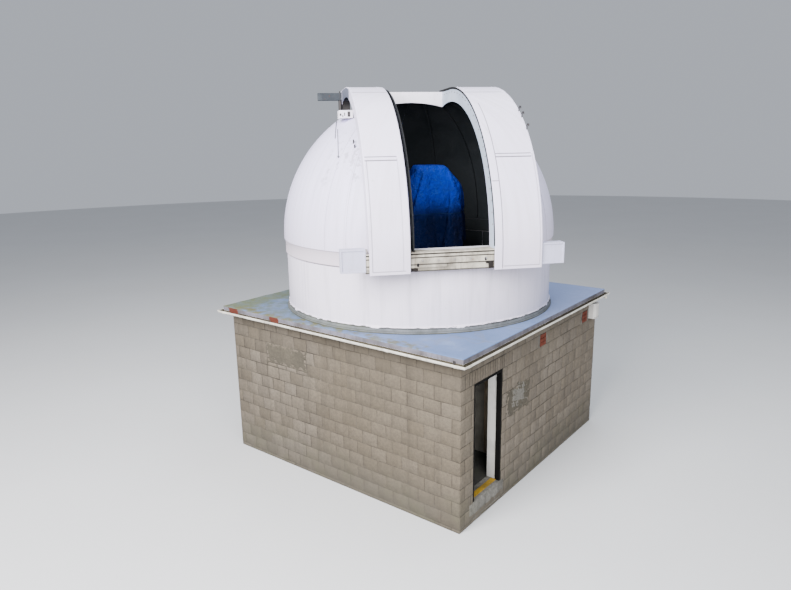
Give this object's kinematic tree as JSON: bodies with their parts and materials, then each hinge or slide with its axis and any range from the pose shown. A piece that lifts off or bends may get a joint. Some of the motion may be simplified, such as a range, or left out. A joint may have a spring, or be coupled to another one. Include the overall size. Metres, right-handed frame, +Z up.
{
  "type": "observatory dome building",
  "caption": "Square block building with a flat roof and a turning observatory dome, its slit open between two sliding shutters",
  "frame": {"origin": "on the dome's axis, at the underside of the floor, level with the lowest ground", "axes": "+Z up along the dome's axis, -Y out through the doorway, +X along the door wall away from the doorway"},
  "size_m": [5.8938, 5.9239, 6.795],
  "materials": {
    "blockwork": "rough concrete block, weathered",
    "concrete": "rough",
    "roof_felt": "mineral felt, matt",
    "fascia_board": "weathered paint",
    "gutter_plastic": "satin",
    "frame_paint": "dark paint",
    "lining_board": "white paint",
    "strip_metal": "yellow, worn",
    "plaster": "dark paint, matt",
    "brown_board": "dark brown stain",
    "alarm_plastic": "satin",
    "dome_white": "weathered white gel coat",
    "white_steel": "weathered white paint",
    "grey_steel": "dark grey",
    "rail_steel": "dull",
    "cover_sheet": "blue woven sheet"
  },
  "bodies": {
    "building": {"left_wall": "blockwork", "right_wall": "blockwork", "back_wall": "blockwork", "front_wall_left": "blockwork", "front_wall_right": "blockwork", "door_lintel": "blockwork", "door_step": "concrete", "ground_floor": "concrete", "door_frame": "frame_paint", "door_lining": "lining_board", "threshold_strip": "strip_metal", "partition_panel": "brown_board", "partition_wall": "plaster", "roof_deck": "roof_felt", "roof_fascia": "fascia_board", "gutter_front": "gutter_plastic", "gutter_back": "gutter_plastic", "gutter_left": "gutter_plastic", "gutter_right": "gutter_plastic", "alarm_box": "alarm_plastic", "drum_wall_1": "dome_white", "drum_wall_2": "dome_white", "drum_wall_3": "dome_white", "drum_wall_4": "dome_white", "drum_kerb": "roof_felt", "drum_rail": "rail_steel", "telescope_pier": "grey_steel", "telescope_cover": "cover_sheet"},
    "dome": {"dome_ring": "dome_white", "shell_right_front": "dome_white", "shell_right_middle": "dome_white", "shell_right_rear": "dome_white", "shell_left_front": "dome_white", "shell_left_middle": "dome_white", "shell_left_rear": "dome_white", "slit_sill": "dome_white", "slit_coaming_right": "white_steel", "slit_coaming_left": "white_steel", "slit_end_plate": "white_steel", "lower_track": "white_steel", "track_end_right": "white_steel", "track_end_left": "white_steel", "track_bracket_right": "white_steel", "track_bracket_left": "white_steel", "upper_track": "grey_steel", "upper_bracket_right": "white_steel", "upper_bracket_left": "white_steel", "side_box_right": "white_steel", "side_box_left": "white_steel"},
    "right_shutter": {"right_shutter": "dome_white"},
    "left_shutter": {"left_shutter": "dome_white"}
  },
  "joints": [
    {"name": "dome_rotation", "type": "hinge", "parent": "building", "child": "dome", "pos_m": [0, 0, 0], "axis": [0, 0, 1], "continuous": true},
    {"name": "right_shutter_slide", "type": "slide", "parent": "dome", "child": "right_shutter", "axis": [-0.7455, 0.6665, 0], "range_m": [0, 0.645]},
    {"name": "left_shutter_slide", "type": "slide", "parent": "dome", "child": "left_shutter", "axis": [0.7455, -0.6665, 0], "range_m": [0, 0.66]}
  ]
}
